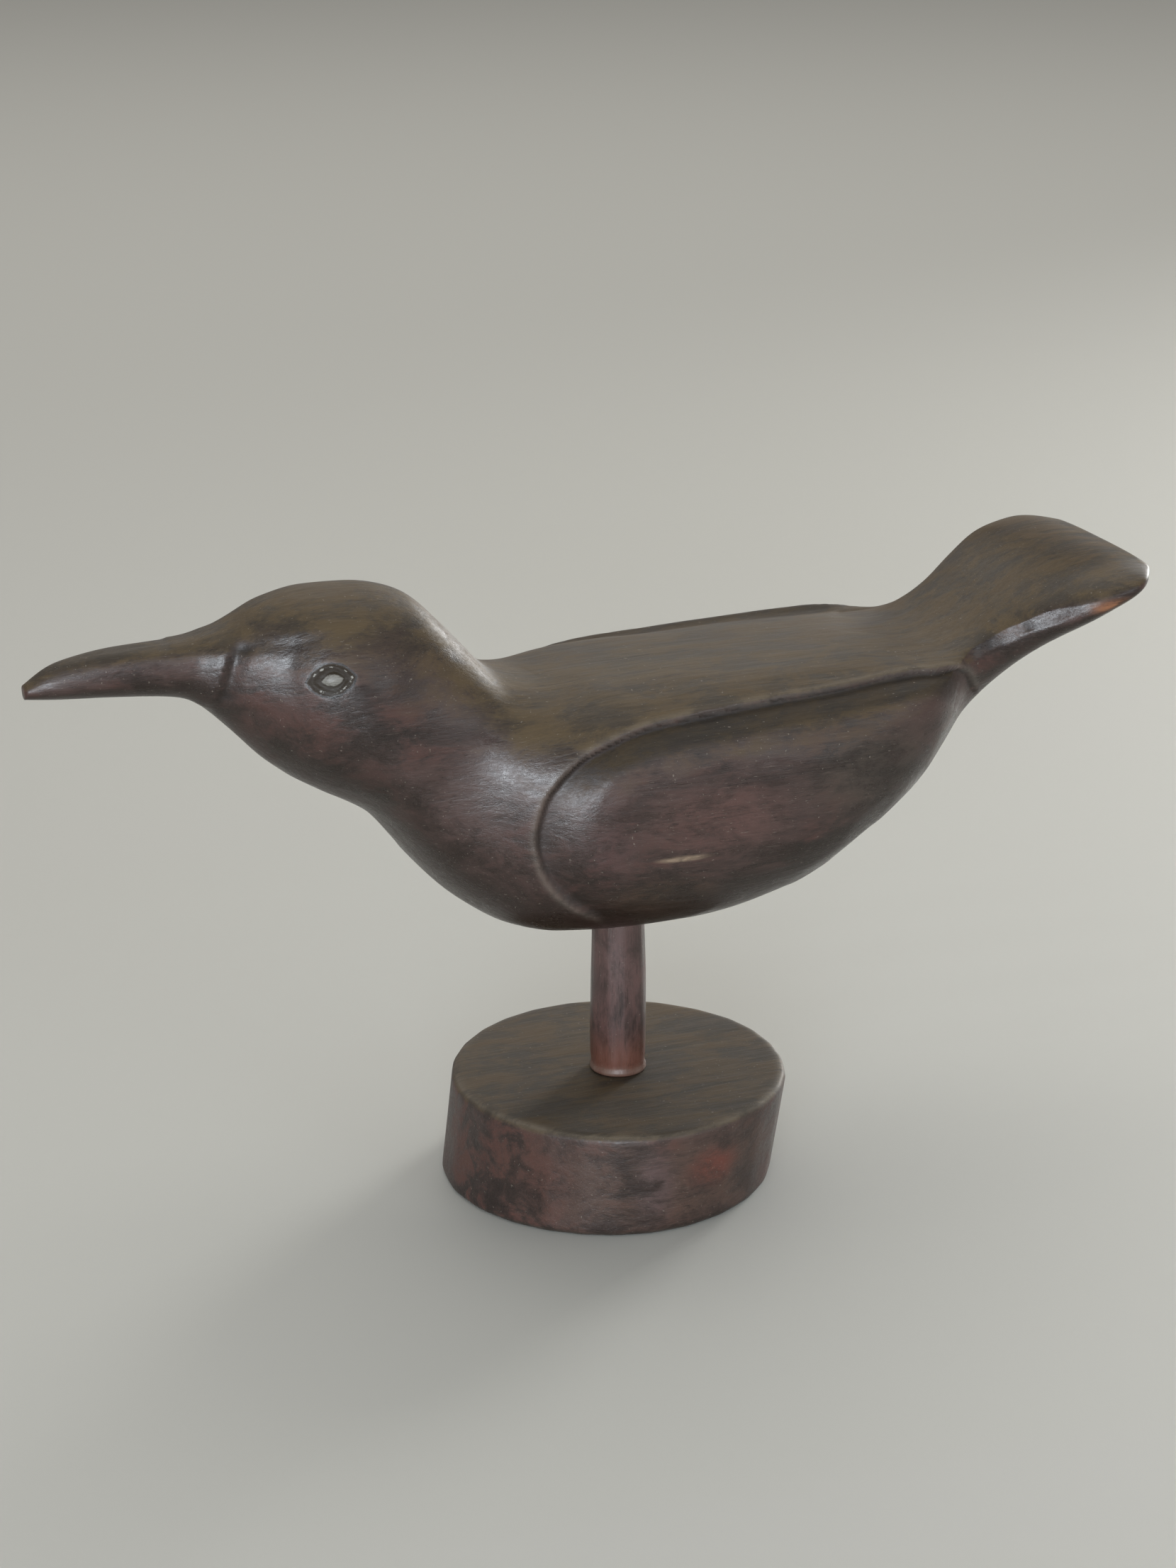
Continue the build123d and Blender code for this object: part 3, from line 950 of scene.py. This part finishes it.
def waxed_wood(name, grain, patches=(), red_share=0.5, film_and_sheen=0.9, gloss=0.30, tint=None, eyed=False):
    f = Finish(name)
    wood = grown(f, grain)
    up, down = faces(f, wood)
    colour = stain_and_painted_light(f, wood, up, down, patches, red_share, film_and_sheen)
    if tint is not None:
        colour = f.blend(tint[0](f), colour, tint[1])
    colour = handled_and_painted_light(f, wood, colour)
    rough = dullness(f, wood, up, gloss)
    if eyed:
        line, rim_glints, sunk, ball = eye_marks(f, wood.where)
        bead_highlight = f.sum_up("MULTIPLY", ball, f.span(wood.fibres, 0.3, 0.6, 0.35, 0.62))
        # the eye's outline and hollow are painted shade, its rim glints and bead are painted highlights
        colour = f.blend(f.sum_up("MULTIPLY", sunk, 0.95), colour, OCHRE)
        colour = f.blend(f.sum_up("MULTIPLY", line, 0.95), colour, PORE_AND_SHADE)
        colour = f.blend(f.sum_up("MULTIPLY", rim_glints, 0.9), colour, BEAD_HIGHLIGHT)
        colour = f.blend(bead_highlight, colour, BEAD_HIGHLIGHT)
        hollow_only = f.sum_up("SUBTRACT", sunk, ball)
        rough = f.sum_up("ADD", rough, f.sum_up("MULTIPLY", hollow_only, EYE_DULL))
    colour = scratched(f, wood, colour)

    skin = f.add("ShaderNodeBsdfPrincipled")
    f.join(colour, skin.inputs["Base Color"])
    f.join(rough, skin.inputs["Roughness"])
    f.join(relief(f, wood), skin.inputs["Normal"])
    skin.inputs["Specular IOR Level"].default_value = 0.50
    skin.inputs["Coat Weight"].default_value = 0.05
    skin.inputs["Coat Roughness"].default_value = 0.28
    out_node = f.add("ShaderNodeOutputMaterial")
    f.join(skin.outputs["BSDF"], out_node.inputs["Surface"])
    print(name, "has", len(f.tree.nodes), "nodes")
    return f.material


def wear(obj, material):
    obj.data.materials.clear()
    obj.data.materials.append(material)


# %% [markdown]
# ## Places in the wood
# A few places are the wood's own: red patches on the wing, a pale scrape low
# on it, the ginger edge of the tail, a red knot in the disc. Each is an
# egg-shaped spot given by its middle and its size in millimetres, so it stays
# where it is when the piece turns or is lifted.

# %% Finish for the bird
GINGER = (0.30, 0.125, 0.058, 1)
STRAW = (0.34, 0.25, 0.17, 1)
bird_patches = [
    ((9, -34, 95), (22, 14, 11), 0.70, (0.105, 0.050, 0.042, 1)),
    ((-16, -31, 92), (10, 12, 14), 0.55, (0.075, 0.038, 0.036, 1)),
    ((-2, -33, 77), (18, 16, 7), 0.60, (0.105, 0.062, 0.032, 1)),
    ((-60, -17, 139), (11, 9, 8), 0.60, (0.050, 0.026, 0.020, 1)),
    ((-54, -20, 128), (7, 8, 6), 0.6, SIDE_DARK),
    ((1.5, -34, 87.0), (8, 5, 1.0), 0.9, STRAW),
    ((108, -30, 130.5), (11, 5, 3.0), 1.0, GINGER),
    ((-97, 0, 138), (6, 4, 1.4), 0.7, REDDISH),
    ((-130, 0, 130), (5, 4, 4), 0.6, REDDISH),
    ((80, -22, 104), (9, 9, 8), 0.6, REDDISH),
    # a grey-olive cloud on the back of the wing: partly the wood's tone, partly a painted sheen
    ((46, -32, 101), (24, 14, 15), 0.65, (0.046, 0.041, 0.031, 1)),
    ((24, -30, 108), (16, 12, 6), 0.5, (0.060, 0.040, 0.036, 1)),
]
wear(bird, waxed_wood("waxed_carving", 0, bird_patches, eyed=True))

# %% Finish for the peg and the base
PEG_RED = (0.18, 0.070, 0.046, 1)
peg_tint = (lambda f: f.sum_up("MULTIPLY", f.mark("warm"), 0.6), PEG_RED)
peg_patches = [((0, 0, 48), (14, 14, 34), 0.55, (0.16, 0.090, 0.085, 1))]
wear(peg, waxed_wood("waxed_peg", 2, peg_patches, 0.6, 0.0, 0.34, peg_tint))
base_patches = [
    ((0, -34, 11), (64, 34, 20), 0.55, (0.088, 0.050, 0.034, 1)),
    ((9, -37, 14), (10, 9, 7), 0.75, (0.14, 0.034, 0.022, 1)),
    ((-6, -38, 12), (7, 10, 14), 0.5, (0.10, 0.07, 0.075, 1)),
    ((-28, -26, 12), (10, 10, 10), 0.5, REDDISH),
    ((34, -18, 14), (8, 8, 10), 0.6, REDDISH),
]
wear(base, waxed_wood("waxed_base", 0, base_patches, 0.8, 0.9, 0.42))

# %% [markdown]
# ## Floor and light
# A pale matte shelf, a soft window on the camera's left and another on its
# right, a small one low behind the tail for the glint on the nape, a wide pale
# ceiling and a pale room all round. The windows draw the long soft glints on
# the wax.

# %% Shelf, windows and room
floor_mesh = bpy.data.meshes.new("shelf")
SPREAD = 2.5
corners = [(-SPREAD, -SPREAD, 0), (SPREAD, -SPREAD, 0), (SPREAD, SPREAD, 0), (-SPREAD, SPREAD, 0)]
floor_mesh.from_pydata(corners, [], [(0, 1, 2, 3)])
floor = bpy.data.objects.new("shelf", floor_mesh)
bpy.context.scene.collection.objects.link(floor)
paint = Finish("shelf_paint")
matte = paint.add("ShaderNodeBsdfPrincipled")
matte.inputs["Base Color"].default_value = (0.47, 0.475, 0.45, 1)
matte.inputs["Roughness"].default_value = 0.6
paint.join(matte.outputs["BSDF"], paint.add("ShaderNodeOutputMaterial").inputs["Surface"])
wear(floor, paint.material)


def window(name, place, size, power, tint, beam=180):
    light = bpy.data.lights.new(name, "AREA")
    light.shape = "RECTANGLE"
    light.size, light.size_y = size
    light.energy = power
    light.color = tint
    light.spread = math.radians(beam)
    obj = bpy.data.objects.new(name, light)
    obj.location = place
    bpy.context.scene.collection.objects.link(obj)
    aim_at(obj, (0, 0, 0.1))
    return obj


window("window_left", (-0.74, -1.42, 0.34), (0.80, 0.42), 2.6, (0.86, 0.93, 1.0), 60)
window("window_right", (0.75, -1.45, 0.62), (0.8, 0.6), 3.0, (0.84, 0.95, 1.0))
window("window_back", (1.40, 0.98, 0.32), (0.5, 0.38), 1.60, (1.0, 0.99, 0.96), 45)
window("ceiling", (0.35, 0.8, 1.65), (2.4, 2.4), 20, (1.0, 0.97, 0.92))
room = bpy.data.worlds.new("room")
room.use_nodes = True
room.node_tree.nodes["Background"].inputs["Color"].default_value = (0.80, 0.77, 0.73, 1)
room.node_tree.nodes["Background"].inputs["Strength"].default_value = 0.48
bpy.context.scene.world = room
bpy.context.scene.view_settings.view_transform = "Standard"
print("windows and ceiling", len(bpy.data.lights))

# %% [markdown]
# ## Sizes
# The finished pieces may not outgrow the packed model, since other parts are
# fitted to it. This last cell only brings the scene up to date.

# %% Bring the scene up to date
bpy.context.view_layer.update()
